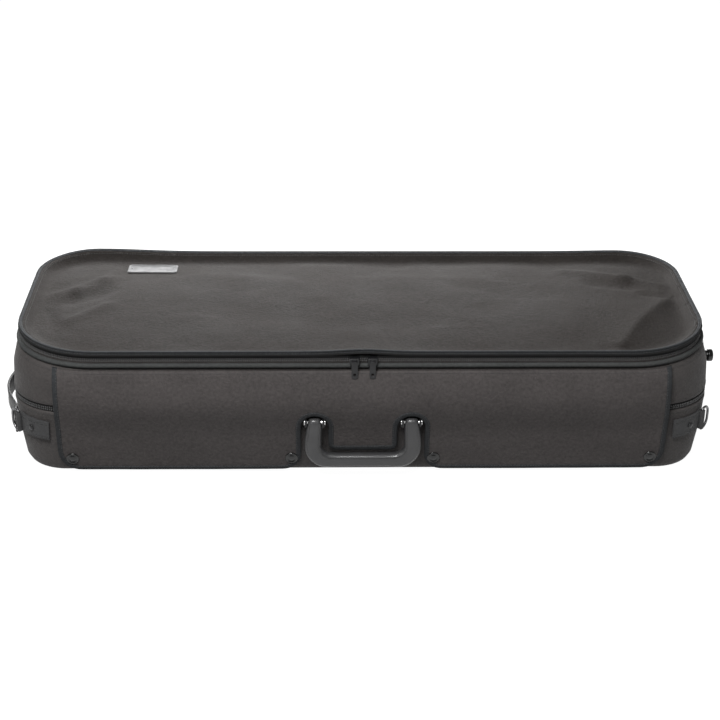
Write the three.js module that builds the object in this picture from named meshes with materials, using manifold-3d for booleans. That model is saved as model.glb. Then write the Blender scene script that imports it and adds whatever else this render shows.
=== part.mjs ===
// An oblong canvas-covered violin case with a zipped sheet-music pocket on its lid.
// Millimetres. X runs along the case, -Y is the handle side, +Y the hinge side, +Z up.
// The origin is on the floor under the middle of the case.
import * as THREE from 'three';
import { mergeVertices } from 'three/addons/utils/BufferGeometryUtils.js';
import Module from 'manifold-3d';

const wasm = await Module();
wasm.setup();

// ---- driving dimensions -------------------------------------------------------------------
// Plan size of the body at each height: half length, half depth, front and back corner radius.
const LEVELS = [
  { z: 0, length: 383, depth: 130, front: 44, back: 44 },
  { z: 2.5, length: 388, depth: 135, front: 49, back: 49 },
  { z: 8, length: 391, depth: 138, front: 52, back: 52 },
  { z: 45, length: 397, depth: 143, front: 60, back: 56 },
  { z: 84, length: 400, depth: 145, front: 66, back: 62 },
  { z: 118, length: 400, depth: 145, front: 76, back: 66 },
  { z: 137, length: 396, depth: 144, front: 95, back: 68 },
  { z: 156, length: 394, depth: 144, front: 96, back: 68 },
];
const SPLIT = 84;              // height of the main zip, where base and lid part
const GAP = 0.4;               // air left between neighbouring pieces
const WALL = 7;                // foam-filled shell
const LINING = 3;              // plush lining
const FLOOR = 7;               // top of the base shell's floor
const LID_TOP = 136.5;
const CEILING = 129.5;         // underside of the lid shell
const RIM_LOW = 150.6;         // bound rim of the music pocket
const RIM_HIGH = 156;
const POCKET_ZIP = 145;        // height of the pocket zip's chain
const TAPE = 1;                // zip tape thickness
const CORNER_STEPS = 7;

const FLAP = {
  out: 2.8, thick: 2, bind: 0.6, bindWidth: 6, top: 124.4, bottom: 5, headTop: 134,
  halfWidth: 345.5, cornerR: 26,
};
const CUTOUT = { centre: 54.5, radius: 15.5, top: 80.5, tabBottom: 33, tabR: 8, footR: 22 };
const SNAP = { x: [-329.5, -81, 81, 329.5], z: 20.5, r: 7 };
const HANDLE = {
  legX: 54.5, legWidth: 16, flareX: 67, thick: 13.6, pinY: -154.5, pinZ: 72.5, pinR: 2,
  low: 12.5, high: 28, round: 4,
};
const BRACKET = { halfWidth: 12, low: 60, high: 79, back: -145.1, front: -146.2, ear: 1.8 };
const RING = { turn: 214, z: 56, out: 4.8, height: 27, reach: 15, wire: 1.6, lean: 5 };
const TAB = { from: 218, to: 254, low: 44.5, high: 67.5, thick: 2.6, rivetTurn: 233 };
const STRAP = { z0: 28, z1: 50, halfSpan: 88, halfArch: 76, bulge: 24, thick: 3.6, x: -398 };
const STUD = { y: -50, z: 104, x: 400.4, length: 13.6, r: 7.2 };
const PULL = { x: 10, length: 21, width: 7, thick: 1.6 };
const BOX = { x0: -305, x1: -115, y0: -119.4, y1: -69.4, wall: 3, top: 66 };
const TAIL = { x: 256, outer: 116, inner: 78 };
const NECK = { x: -112, halfLength: 17, halfWidth: 34, top: 62, notchR: 19 };

// ---- colours ------------------------------------------------------------------------------
const finish = (color, roughness, metalness = 0) =>
  new THREE.MeshStandardMaterial({ color, roughness, metalness });
const LOOK = {
  canvas: finish(0x4a4644, 0.85),
  binding: finish(0x3c3f42, 0.8),
  piping: finish(0x5a5e5a, 0.75),
  tape: finish(0x1c1c1d, 0.8),
  lining: finish(0x3a4a66, 0.95),
  leather: finish(0x2b2b2d, 0.5),
  steel: finish(0xb8b8b8, 0.3, 1),
  black: finish(0x161617, 0.35, 0.4),
  badge: finish(0xa8aaab, 0.4, 0.6),
};

const violinCase = new THREE.Group();
function add(name, geometry, look) {
  const mesh = new THREE.Mesh(geometry, LOOK[look]);
  mesh.name = name;
  violinCase.add(mesh);
}

// ---- closed surfaces from rows of points --------------------------------------------------
const radians = THREE.MathUtils.degToRad;

function faceOutward(positions, index) {
  let volume = 0;
  const [a, b, c] = [new THREE.Vector3(), new THREE.Vector3(), new THREE.Vector3()];
  for (let i = 0; i < index.length; i += 3) {
    a.fromArray(positions, 3 * index[i]);
    b.fromArray(positions, 3 * index[i + 1]);
    c.fromArray(positions, 3 * index[i + 2]);
    volume += a.dot(b.cross(c));
  }
  if (volume < 0) {
    for (let i = 0; i < index.length; i += 3) {
      [index[i], index[i + 1]] = [index[i + 1], index[i]];
    }
  }
}

// Joins rows of the same length, each a closed outline. The first and last row meet when the
// skin loops, and are closed by fans about their middles when it doesn't.
function skin(rows, loops) {
  const width = rows[0].length;
  const positions = rows.flat(2);
  const index = [];
  const rowPairs = loops ? rows.length : rows.length - 1;
  for (let r = 0; r < rowPairs; r += 1) {
    const here = r * width;
    const next = ((r + 1) % rows.length) * width;
    for (let i = 0; i < width; i += 1) {
      const j = (i + 1) % width;
      index.push(here + i, here + j, next + j, here + i, next + j, next + i);
    }
  }
  if (!loops) {
    [0, rows.length - 1].forEach((r) => {
      const middle = [0, 1, 2].map((k) => rows[r].reduce((sum, p) => sum + p[k], 0) / width);
      const apex = positions.length / 3;
      positions.push(...middle);
      for (let i = 0; i < width; i += 1) {
        const edge = [r * width + i, r * width + ((i + 1) % width)];
        index.push(apex, ...(r === 0 ? edge.reverse() : edge));
      }
    });
  }
  faceOutward(positions, index);
  const geometry = new THREE.BufferGeometry();
  geometry.setAttribute('position', new THREE.Float32BufferAttribute(positions, 3));
  geometry.setIndex(index);
  return geometry;
}

// ---- the body's outline -------------------------------------------------------------------
function sizeAt(z) {
  const upper = LEVELS.findIndex((level) => level.z >= z);
  if (upper <= 0) return LEVELS[0];
  const [low, high] = [LEVELS[upper - 1], LEVELS[upper]];
  const t = (z - low.z) / (high.z - low.z);
  const mix = (key) => low[key] + (high[key] - low[key]) * t;
  return { length: mix('length'), depth: mix('depth'), front: mix('front'), back: mix('back') };
}

// A point of the outline at height z, moved out along its normal. turn is the normal's heading.
function outlinePoint(z, out, turn, side = 0) {
  const size = sizeAt(z);
  const heading = radians(turn);
  const quarter = side || Math.floor((turn % 360) / 90) + 1;
  const front = quarter >= 3;
  const right = quarter === 1 || quarter === 4;
  const radius = front ? size.front : size.back;
  const cx = (right ? 1 : -1) * (size.length - radius);
  const cy = (front ? -1 : 1) * (size.depth - radius);
  return [cx + (radius + out) * Math.cos(heading), cy + (radius + out) * Math.sin(heading), z];
}

// Stops along the outline from one heading to another, with both ends of every straight side.
function stops(from, to) {
  const list = [];
  for (let quarter = Math.floor(from / 90); quarter * 90 < to; quarter += 1) {
    const start = Math.max(from, quarter * 90);
    const end = Math.min(to, quarter * 90 + 90);
    const steps = Math.max(1, Math.round((CORNER_STEPS * (end - start)) / 90));
    for (let i = 0; i <= steps; i += 1) {
      list.push({ turn: start + ((end - start) * i) / steps, side: (quarter % 4) + 1 });
    }
  }
  return list;
}
const AROUND = stops(0, 360);
const ZIP_RUN = stops(135, 405);       // front and both ends, into the back corners
const BACK_RUN = stops(45, 135);       // the hinge side between the zip's ends

// profile: [out, z] corners of the section that runs along the outline.
function band(profile, run, loops) {
  const rows = run.map(({ turn, side }) =>
    profile.map(([out, z]) => outlinePoint(z, out, turn, side)));
  return skin(rows, loops);
}
const boxProfile = (out0, out1, z0, z1) => [[out0, z0], [out1, z0], [out1, z1], [out0, z1]];

// A tub: profile goes from the outside of its closed end, over the rim, to the inside.
function tub(profile) {
  const rows = profile.map(([out, z]) =>
    AROUND.map(({ turn, side }) => outlinePoint(z, out, turn, side)));
  return skin(rows, false);
}

// ---- plates, bars and booleans ------------------------------------------------------------
const outline = (points) => new THREE.Shape(points.map(([a, b]) => new THREE.Vector2(a, b)));

function prism(shape, depth, bevel = 0) {
  return new THREE.ExtrudeGeometry(shape, {
    depth: depth - 2 * bevel, steps: 1, curveSegments: 3, bevelEnabled: bevel > 0,
    bevelThickness: bevel, bevelSize: bevel, bevelOffset: -bevel, bevelSegments: 2,
  }).translate(0, 0, bevel);
}
// A plate drawn in X and Z, from y0 to y1.
const plateXZ = (shape, y0, y1, bevel) =>
  prism(shape, y1 - y0, bevel).rotateX(Math.PI / 2).translate(0, y1, 0);
// A plate drawn in X and Y, from z0 to z1.
const plateXY = (shape, z0, z1, bevel) => prism(shape, z1 - z0, bevel).translate(0, 0, z0);
// A bar drawn in Y and Z, from x0 to x1.
const AXES_YZX = new THREE.Matrix4().makeBasis(
  new THREE.Vector3(0, 1, 0), new THREE.Vector3(0, 0, 1), new THREE.Vector3(1, 0, 0));
const barYZ = (shape, x0, x1, bevel) =>
  prism(shape, x1 - x0, bevel).applyMatrix4(AXES_YZX).translate(x0, 0, 0);

function roundedShape(x0, y0, x1, y1, r) {
  const shape = new THREE.Shape();
  shape.absarc(x1 - r, y0 + r, r, -Math.PI / 2, 0);
  shape.absarc(x1 - r, y1 - r, r, 0, Math.PI / 2);
  shape.absarc(x0 + r, y1 - r, r, Math.PI / 2, Math.PI);
  shape.absarc(x0 + r, y0 + r, r, Math.PI, 1.5 * Math.PI);
  return shape;
}
const block = (x0, x1, y0, y1, z0, z1, r = 1) =>
  plateXY(roundedShape(x0, y0, x1, y1, r), z0, z1);

// A turned piece about Z from [radius, height] points that start and end on the axis.
const turned = (points, sides = 16) =>
  new THREE.LatheGeometry(points.map(([r, z]) => new THREE.Vector2(r, z)), sides)
    .rotateX(Math.PI / 2);
const rod = (r, length, sides = 12) => turned([[0, 0], [r, 0], [r, length], [0, length]], sides);
const alongX = (geometry) => geometry.rotateY(Math.PI / 2);
const alongMinusY = (geometry) => geometry.rotateX(Math.PI / 2);

function toSolid(geometry) {
  const bare = geometry.clone();
  bare.deleteAttribute('normal');
  bare.deleteAttribute('uv');
  const merged = mergeVertices(bare, 1e-4);
  const corners = merged.index.array;
  const kept = [];
  for (let i = 0; i < corners.length; i += 3) {
    const [a, b, c] = corners.slice(i, i + 3);
    if (a !== b && b !== c && c !== a) kept.push(a, b, c);
  }
  return new wasm.Manifold(new wasm.Mesh({
    numProp: 3,
    vertProperties: new Float32Array(merged.attributes.position.array),
    triVerts: new Uint32Array(kept),
  }));
}
function toGeometry(solid) {
  const mesh = solid.getMesh();
  const geometry = new THREE.BufferGeometry();
  geometry.setAttribute('position', new THREE.BufferAttribute(mesh.vertProperties, 3));
  geometry.setIndex(new THREE.BufferAttribute(mesh.triVerts, 1));
  return geometry;
}
const cut = (body, ...tools) =>
  toGeometry(tools.reduce((solid, tool) => solid.subtract(toSolid(tool)), toSolid(body)));
const join = (body, ...others) =>
  toGeometry(others.reduce((solid, other) => solid.add(toSolid(other)), toSolid(body)));
const common = (a, b) => toGeometry(toSolid(a).intersect(toSolid(b)));

// ---- base ---------------------------------------------------------------------------------
const RECESS = 2.5;            // the zip lies this deep in the side
const baseTop = SPLIT - GAP;
add('base_shell', tub([
  [0, 0], [0, 2.5], [0, 8], [0, 45], [0, 78], [-RECESS, 80.5], [-RECESS, baseTop],
  [-WALL, baseTop], [-WALL, 45], [-WALL, 14], [-WALL - 4, 8.6], [-WALL - 9, FLOOR],
]), 'canvas');
const lineOut = -WALL - GAP;
const lineIn = lineOut - LINING;
const lineFloor = FLOOR + GAP;
add('base_lining', tub([
  [lineOut - 9, lineFloor], [lineOut - 4, 9.1], [lineOut, 14.3], [lineOut, 45],
  [lineOut, baseTop - 1], [lineIn, baseTop - 1], [lineIn, 45], [lineIn, 17],
  [lineIn - 3, 12.2], [lineIn - 8, lineFloor + LINING],
]), 'lining');
const tapeOut = -RECESS + 0.3;
add('main_zip_tape_lower', band(
  boxProfile(tapeOut, tapeOut + TAPE, 80.7, SPLIT - 0.3), ZIP_RUN, false), 'tape');
add('hinge_strip_lower', block(-300, 300, 145.3, 146.5, 66, SPLIT - 0.5, 0.3), 'binding');

// ---- lid ----------------------------------------------------------------------------------
const lidLow = SPLIT + GAP;
add('lid_shell', tub([
  [-4.5, LID_TOP], [-2, 135.6], [-0.6, 133], [0, 128], [0, 118], [0, 90], [-RECESS, 87.5],
  [-RECESS, lidLow], [-WALL, lidLow], [-WALL, 118], [-WALL - 2, 126], [-WALL - 8, CEILING],
]), 'canvas');
const lineTop = CEILING - GAP;
add('lid_lining', tub([
  [lineOut - 8, lineTop], [lineOut - 2, 125.6], [lineOut, 117.6], [lineOut, lidLow + 1],
  [lineIn, lidLow + 1], [lineIn, 117], [lineIn - 2, 123], [lineIn - 7, lineTop - LINING],
]), 'lining');
add('main_zip_tape_upper', band(
  boxProfile(tapeOut, tapeOut + TAPE, SPLIT + 0.3, 87.3), ZIP_RUN, false), 'tape');
add('hinge_strip_upper', block(-300, 300, 145.3, 146.5, SPLIT + 0.5, 102, 0.3), 'binding');

function roundProfile(out, z, radius, sides) {
  return Array.from({ length: sides }, (_, i) => {
    const a = (2 * Math.PI * i) / sides;
    return [out + radius * Math.cos(a), z + radius * Math.sin(a)];
  });
}
add('lid_piping', band(roundProfile(-0.6, 137.7, 1.9, 6), AROUND, true), 'piping');
add('pocket_wall', band(boxProfile(-5.6, -3.2, 136.8, 144.6), AROUND, true), 'canvas');
add('pocket_zip_tape_lower', band(
  boxProfile(-2.8, -2.8 + TAPE, 139.9, POCKET_ZIP - 0.2), ZIP_RUN, false), 'tape');
add('pocket_back_gusset', band(
  boxProfile(-5.6, -3.2, 145, RIM_LOW - 0.4), BACK_RUN, false), 'canvas');

// ---- music pocket's cover -----------------------------------------------------------------
add('pocket_zip_tape_upper', band(
  boxProfile(-2.8, -2.8 + TAPE, POCKET_ZIP + 0.2, RIM_LOW - 0.4), ZIP_RUN, false), 'tape');
add('pocket_rim', band([
  [-4, RIM_LOW], [-0.6, RIM_LOW], [0.4, 151.6], [0.4, 154.8], [-0.8, RIM_HIGH],
  [-3, RIM_HIGH], [-4, 155],
], AROUND, true), 'binding');
const COVER_THICK = 2.4;
const coverTop = [[-4.3, 154.6], [-8, 151.6], [-16, 149], [-38, 147.5], [-60, 147]];
add('pocket_cover', tub([
  ...coverTop.map(([out, z]) => [out, z - COVER_THICK]).reverse(), ...coverTop,
]), 'canvas');
add('badge_plate', plateXY(roundedShape(-286, 87, -225, 115, 3), 148.6, 150.1, 0.4), 'badge');

// ---- weather flap -------------------------------------------------------------------------
// Left half of the flap's free edge, from its top corner to the middle, moved in by inset.
function flapEdge(inset) {
  const { halfWidth, cornerR, bottom, top } = FLAP;
  const { centre, radius, tabR, tabBottom, footR } = CUTOUT;
  const spring = CUTOUT.top - radius;
  const path = new THREE.Path();
  path.moveTo(-halfWidth + inset, top);
  path.lineTo(-halfWidth + inset, bottom + cornerR);
  path.absarc(-halfWidth + cornerR, bottom + cornerR, cornerR - inset, Math.PI, 1.5 * Math.PI);
  path.absarc(-centre - radius - footR, bottom + footR, footR - inset, -Math.PI / 2, 0);
  path.absarc(-centre, spring, radius + inset, Math.PI, 0, true);
  path.absarc(-centre + radius + tabR, tabBottom + tabR, tabR - inset, Math.PI, 1.5 * Math.PI);
  return path.getPoints(5);
}
const mirrored = (points) => points.map((p) => new THREE.Vector2(-p.x, p.y)).reverse();
const wholeEdge = (inset) => [...flapEdge(inset), ...mirrored(flapEdge(inset))];
const flapLevels = [134.6, 128, 118, 100, 84, 62, 45, 24, 8, 4];
const flapSheet = (inner, outer) => band([
  ...flapLevels.map((z) => [inner, z]), ...flapLevels.map((z) => [outer, z]).reverse(),
], AROUND, true);
const panelShape = new THREE.Shape(wholeEdge(FLAP.bindWidth + 0.3));
const bindingShape = new THREE.Shape([
  ...wholeEdge(0), ...wholeEdge(FLAP.bindWidth).reverse(),
]);
const flapOuter = FLAP.out + FLAP.thick;
add('flap_panel', common(
  plateXZ(panelShape, -160, -90), flapSheet(FLAP.out, flapOuter)), 'canvas');
add('flap_binding', common(
  plateXZ(bindingShape, -160, -90),
  flapSheet(FLAP.out - FLAP.bind, flapOuter + FLAP.bind)), 'binding');
add('flap_head', common(
  plateXZ(outline([[-FLAP.halfWidth, FLAP.top + 0.6], [FLAP.halfWidth, FLAP.top + 0.6],
    [FLAP.halfWidth, FLAP.headTop], [-FLAP.halfWidth, FLAP.headTop]]), -160, -90),
  flapSheet(0.4, flapOuter)), 'canvas');

const snapLean = Math.atan2(5, 37);    // the front leans back this much below the snaps
const faceY = -sizeAt(SNAP.z).depth;
SNAP.x.forEach((x, i) => {
  const seat = (geometry, out) => alongMinusY(geometry).rotateX(snapLean)
    .translate(x, faceY - out, SNAP.z);
  add(`snap_cap_${i + 1}`, seat(turned(
    [[0, 0], [SNAP.r, 0], [SNAP.r, 0.7], [SNAP.r - 1.8, 1.8], [0, 1.8]]), flapOuter + 1.2), 'black');
  add(`snap_stud_${i + 1}`, seat(rod(5, 1), 0.6), 'steel');
});

// ---- front handle -------------------------------------------------------------------------
function handleHalf() {
  const { legX, legWidth, flareX, pinZ, low, high } = HANDLE;
  const path = new THREE.Path();
  path.absarc(flareX - 28, low + 28, 28, -Math.PI / 2, 0);
  path.lineTo(legX + legWidth / 2, 62);
  path.absellipse(legX, pinZ, legWidth / 2, 5.5, 0, Math.PI);
  path.absarc(legX - legWidth / 2 - 9, high + 9, 9, 0, -Math.PI / 2, true);
  return path.getPoints(5);
}
const gripShape = new THREE.Shape([...handleHalf(), ...mirrored(handleHalf())]);
const pinHole = (x) => alongX(rod(HANDLE.pinR + 0.4, 40))
  .translate(x - 20, HANDLE.pinY, HANDLE.pinZ);
add('front_handle', cut(
  plateXZ(gripShape, HANDLE.pinY - HANDLE.thick / 2, HANDLE.pinY + HANDLE.thick / 2,
    HANDLE.round),
  pinHole(-HANDLE.legX), pinHole(HANDLE.legX)), 'leather');

const sides = { left: -1, right: 1 };
Object.entries(sides).forEach(([side, sign]) => {
  const x = sign * HANDLE.legX;
  const plate = plateXZ(
    roundedShape(x - BRACKET.halfWidth, BRACKET.low, x + BRACKET.halfWidth, BRACKET.high, 4),
    BRACKET.front, BRACKET.back);
  const ears = [-1, 1].map((end) => {
    const inner = x + end * (HANDLE.legWidth / 2 + 0.6);
    const x0 = Math.min(inner, inner + end * BRACKET.ear);
    return barYZ(roundedShape(HANDLE.pinY - 4.5, HANDLE.pinZ - 5, BRACKET.front + 0.5,
      HANDLE.pinZ + 3.8, 3), x0, x0 + BRACKET.ear);
  });
  const hole = alongX(rod(HANDLE.pinR + 0.3, 60)).translate(x - 30, HANDLE.pinY, HANDLE.pinZ);
  add(`handle_bracket_${side}`, cut(join(plate, ...ears), hole), 'black');
  const reach = HANDLE.legWidth / 2 + 0.6 + BRACKET.ear + 0.4;
  add(`handle_pin_${side}`, alongX(turned([
    [0, 0], [3.2, 0], [3.2, 1.2], [HANDLE.pinR, 1.2], [HANDLE.pinR, 2 * reach + 1.2],
    [3.2, 2 * reach + 1.2], [3.2, 2 * reach + 2.4], [0, 2 * reach + 2.4],
  ])).translate(x - reach - 1.2, HANDLE.pinY, HANDLE.pinZ), 'steel');
});

// ---- shoulder-strap rings -----------------------------------------------------------------
const mirrorX = new THREE.Matrix4().makeScale(-1, 1, 1);
function mirrorGeometry(geometry) {
  const solid = mergeVertices(geometry.clone().applyMatrix4(mirrorX), 1e-4);
  const index = Array.from(solid.index.array);
  faceOutward(solid.attributes.position.array, index);
  solid.setIndex(index);
  return solid;
}
const bare = (geometry) => toGeometry(toSolid(geometry));
const bar = outlinePoint(RING.z, RING.out, RING.turn);

function ringGeometry() {
  const { height, reach, wire } = RING;
  const path = new THREE.Path();
  path.moveTo(0, -height / 2 + 3);
  path.lineTo(0, height / 2 - 3);
  path.absarc(3, height / 2 - 3, 3, Math.PI, Math.PI / 2, true);
  path.absarc(reach - 10, height / 2 - 10, 10, Math.PI / 2, 0, true);
  path.absarc(reach - 10, -height / 2 + 10, 10, 0, -Math.PI / 2, true);
  path.absarc(3, -height / 2 + 3, 3, -Math.PI / 2, -Math.PI, true);
  const points = path.getPoints(5).filter((p, i, all) => i === 0 || p.distanceTo(all[i - 1]) > 0.1);
  if (points[0].distanceTo(points[points.length - 1]) < 0.1) points.pop();
  const heading = radians(RING.turn - 90 + RING.lean);
  const [ux, uy] = [Math.cos(heading), Math.sin(heading)];
  const rows = points.map((p, i) => {
    const before = points[(i + points.length - 1) % points.length];
    const after = points[(i + 1) % points.length];
    const along = after.clone().sub(before).normalize();
    return Array.from({ length: 8 }, (_, k) => {
      const a = (2 * Math.PI * k) / 8;
      const inPlane = wire * Math.cos(a);
      const across = wire * Math.sin(a);
      const u = p.x + inPlane * along.y;
      const z = p.y - inPlane * along.x;
      return [bar[0] + u * ux - across * uy, bar[1] + u * uy + across * ux, RING.z + z];
    });
  });
  return skin(rows, true);
}
function tabGeometry() {
  const strip = band(boxProfile(GAP + 0.1, TAB.thick + 0.5, TAB.low, TAB.high),
    stops(TAB.from - 3, TAB.to), false);
  const height = TAB.high - TAB.low;
  const sleeve = rod(3.5, height).translate(bar[0], bar[1], TAB.low);
  const hole = rod(2.3, height + 4).translate(bar[0], bar[1], TAB.low - 2);
  return cut(join(strip, sleeve), hole);
}
function rivetGeometry() {
  const [x, y] = outlinePoint(RING.z, TAB.thick + 0.9, TAB.rivetTurn);
  return bare(alongX(turned([[0, 0], [3.4, 0], [3.4, 0.8], [2, 1.6], [0, 1.6]]))
    .rotateZ(radians(TAB.rivetTurn)).translate(x, y, RING.z));
}
const ringPieces = {
  dring: [ringGeometry(), 'steel'],
  dring_tab: [tabGeometry(), 'leather'],
  dring_rivet: [rivetGeometry(), 'black'],
};
Object.entries(ringPieces).forEach(([name, [geometry, look]]) => {
  add(`${name}_left`, geometry, look);
  add(`${name}_right`, mirrorGeometry(geometry), look);
});

// ---- end handle and end stud --------------------------------------------------------------
function strapShape() {
  const steps = 14;
  const bulgeAt = (y) => (Math.abs(y) < STRAP.halfArch
    ? STRAP.bulge * Math.cos((Math.PI * y) / (2 * STRAP.halfArch)) : 0);
  const ys = [-STRAP.halfSpan];
  for (let i = 0; i <= steps; i += 1) ys.push(STRAP.halfArch * (-1 + (2 * i) / steps));
  ys.push(STRAP.halfSpan);
  const edge = (shift) => ys.map((y) => [STRAP.x - shift - bulgeAt(y), y]);
  return outline([...edge(STRAP.thick), ...edge(0).reverse()]);
}
// The strap's ends are sewn under two patches, which make one piece with it.
const patches = [-1, 1].map((sign) => {
  const x = STRAP.x - STRAP.thick;
  const y = sign * (STRAP.halfSpan - 7.5);
  return block(x - 1.8, x + 1, y - 8.5, y + 8.5, STRAP.z0 - 4, STRAP.z1 + 4, 0.5);
});
add('end_handle_strap',
  join(plateXY(strapShape(), STRAP.z0, STRAP.z1), ...patches), 'leather');
add('end_stud', alongX(turned([
  [0, 0], [STUD.r + 1.4, 0], [STUD.r + 1.4, 1.6], [STUD.r - 1.2, 2.6], [STUD.r - 1.2, 7],
  [STUD.r, 7.8], [STUD.r, STUD.length - 1], [STUD.r - 1, STUD.length], [0, STUD.length],
])).translate(STUD.x, STUD.y, STUD.z), 'black');

// ---- zip sliders --------------------------------------------------------------------------
Object.entries(sides).forEach(([side, sign]) => {
  const x = sign * PULL.x;
  const body = block(x - 5.5, x + 5.5, -148.9, -142.6, POCKET_ZIP - 4, POCKET_ZIP + 4, 1.2);
  const bail = block(x - 1.6, x + 1.6, -150.1, -148, POCKET_ZIP - 1, POCKET_ZIP + 3, 0.6);
  add(`pocket_zip_slider_${side}`, join(body, bail), 'black');
  const top = POCKET_ZIP + 2;
  const tag = roundedShape(x - PULL.width / 2, top - PULL.length, x + PULL.width / 2, top, 2.2);
  tag.holes.push(new THREE.Path().absarc(x, top - PULL.length + 5, 1.8, 0, 2 * Math.PI));
  add(`pocket_zip_pull_${side}`,
    plateXZ(tag, -150.8 - PULL.thick, -150.8), 'black');
  const nose = x + sign * 4;
  const tip = nose + sign * PULL.length;
  add(`main_zip_slider_${side}`, join(
    block(x - 5.5, x + 5.5, -146.8, -144.2, SPLIT - 4.4, SPLIT + 4.4, 1),
    plateXZ(roundedShape(Math.min(nose, tip), SPLIT - 3.2, Math.max(nose, tip), SPLIT + 3.2, 2),
      -146.6, -145.4)), 'black');
});

// ---- inside of the base -------------------------------------------------------------------
const bed = lineFloor + LINING + GAP;
const tailRest = new THREE.Shape();
tailRest.absarc(TAIL.x, 0, TAIL.outer, radians(-48), radians(48));
tailRest.absarc(TAIL.x, 0, TAIL.inner, radians(48), radians(-48), true);
add('tail_rest', plateXY(new THREE.Shape(tailRest.getPoints(8)), bed, 37, 3), 'lining');
add('shoulder_rest', barYZ(roundedShape(-88, bed, 88, 36, 9), -22, 20, 3), 'lining');
const notch = new THREE.Shape();
notch.moveTo(-NECK.halfWidth, bed);
notch.lineTo(NECK.halfWidth, bed);
notch.lineTo(NECK.halfWidth, NECK.top);
notch.absarc(0, NECK.top, NECK.notchR, 0, -Math.PI, true);
notch.lineTo(-NECK.halfWidth, NECK.top);
add('neck_rest', barYZ(notch, NECK.x - NECK.halfLength, NECK.x + NECK.halfLength), 'lining');
const [strapIn, strapOut] = [NECK.halfWidth + GAP, NECK.halfWidth + GAP + 1.4];
add('neck_strap', barYZ(outline([
  [-strapOut, 22], [-strapIn, 22], [-strapIn, NECK.top + GAP], [strapIn, NECK.top + GAP],
  [strapIn, 22], [strapOut, 22], [strapOut, NECK.top + 1.8], [-strapOut, NECK.top + 1.8],
]), NECK.x - 12, NECK.x + 12), 'binding');

add('accessory_box', cut(
  block(BOX.x0, BOX.x1, BOX.y0, BOX.y1, bed, BOX.top, 4),
  block(BOX.x0 + BOX.wall, BOX.x1 - BOX.wall, BOX.y0 + BOX.wall, BOX.y1 - BOX.wall,
    bed + BOX.wall, BOX.top + 5, 2)), 'lining');
add('accessory_lid', block(
  BOX.x0, BOX.x1, BOX.y0, BOX.y1 + 1, BOX.top + 0.4, BOX.top + 3, 4), 'lining');
const boxMiddle = (BOX.x0 + BOX.x1) / 2;
add('accessory_tab', block(
  boxMiddle - 8, boxMiddle + 8, BOX.y1 - 8, BOX.y1 + 9, BOX.top + 3.4, BOX.top + 4.6, 0.5), 'binding');

// ---- inside of the lid --------------------------------------------------------------------
const roof = lineTop - LINING - GAP;
[[1, -62], [2, 62]].forEach(([n, y]) => {
  add(`bow_clip_base_${n}`, block(286, 318, y - 11, y + 11, roof - 8, roof, 4), 'lining');
  add(`bow_clip_${n}`, block(280, 324, y - 6, y + 6, roof - 12.4, roof - 8.4, 5.8), 'black');
  const arch = new THREE.Shape();
  arch.moveTo(y - 15, roof);
  arch.absarc(y, roof, 15, Math.PI, 2 * Math.PI);
  arch.absarc(y, roof, 12.4, 0, -Math.PI, true);
  add(`bow_tip_loop_${n}`, barYZ(arch, -352, -328), 'binding');
});

export default violinCase;
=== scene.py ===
# The looks of an oblong canvas-covered violin case with a zipped music pocket on its lid.
# Metres in Blender. Lengths named _MM, and every point in plan or section, are millimetres.
import math
import random

import bmesh
import bpy
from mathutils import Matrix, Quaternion, Vector, noise
from mathutils.geometry import delaunay_2d_cdt


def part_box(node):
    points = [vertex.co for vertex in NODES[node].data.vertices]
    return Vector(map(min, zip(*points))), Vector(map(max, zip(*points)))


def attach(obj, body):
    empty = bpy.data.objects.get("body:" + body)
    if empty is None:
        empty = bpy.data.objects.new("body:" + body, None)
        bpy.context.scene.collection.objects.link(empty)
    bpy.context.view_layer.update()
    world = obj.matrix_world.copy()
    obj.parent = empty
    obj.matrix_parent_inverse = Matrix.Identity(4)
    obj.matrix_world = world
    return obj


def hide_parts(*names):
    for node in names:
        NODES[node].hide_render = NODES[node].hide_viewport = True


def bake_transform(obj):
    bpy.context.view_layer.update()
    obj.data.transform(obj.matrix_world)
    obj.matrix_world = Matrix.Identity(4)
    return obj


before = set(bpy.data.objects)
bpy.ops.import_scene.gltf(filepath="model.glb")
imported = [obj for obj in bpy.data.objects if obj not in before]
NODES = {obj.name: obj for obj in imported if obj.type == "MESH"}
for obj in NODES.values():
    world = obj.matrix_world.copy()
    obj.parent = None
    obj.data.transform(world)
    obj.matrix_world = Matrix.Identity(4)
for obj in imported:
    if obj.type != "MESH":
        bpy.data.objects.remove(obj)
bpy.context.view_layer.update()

MM = 0.001
random.seed(7)

# ---- camera ---------------------------------------------------------------------------------
CAMERA_DISTANCE = 1.9
CAMERA_ELEVATION = math.radians(26.5)
CAMERA_AZIMUTH = math.radians(-1.6)
CAMERA_ROLL = math.radians(0.6)
CAMERA_AIM = Vector((0, 0, 0.0735))
CAMERA_LENS = 78.5            # on a 36 mm sensor


def add_camera():
    data = bpy.data.cameras.new("camera")
    data.lens = CAMERA_LENS
    data.sensor_width = 36
    camera = bpy.data.objects.new("camera", data)
    bpy.context.scene.collection.objects.link(camera)
    flat = math.cos(CAMERA_ELEVATION)
    toward = Vector((math.sin(CAMERA_AZIMUTH) * flat, -math.cos(CAMERA_AZIMUTH) * flat,
                     math.sin(CAMERA_ELEVATION)))
    camera.location = CAMERA_AIM + CAMERA_DISTANCE * toward
    aim = (-toward).to_track_quat("-Z", "Y") @ Quaternion((0, 0, 1), CAMERA_ROLL)
    camera.rotation_euler = aim.to_euler()
    bpy.context.scene.camera = camera


add_camera()


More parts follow.
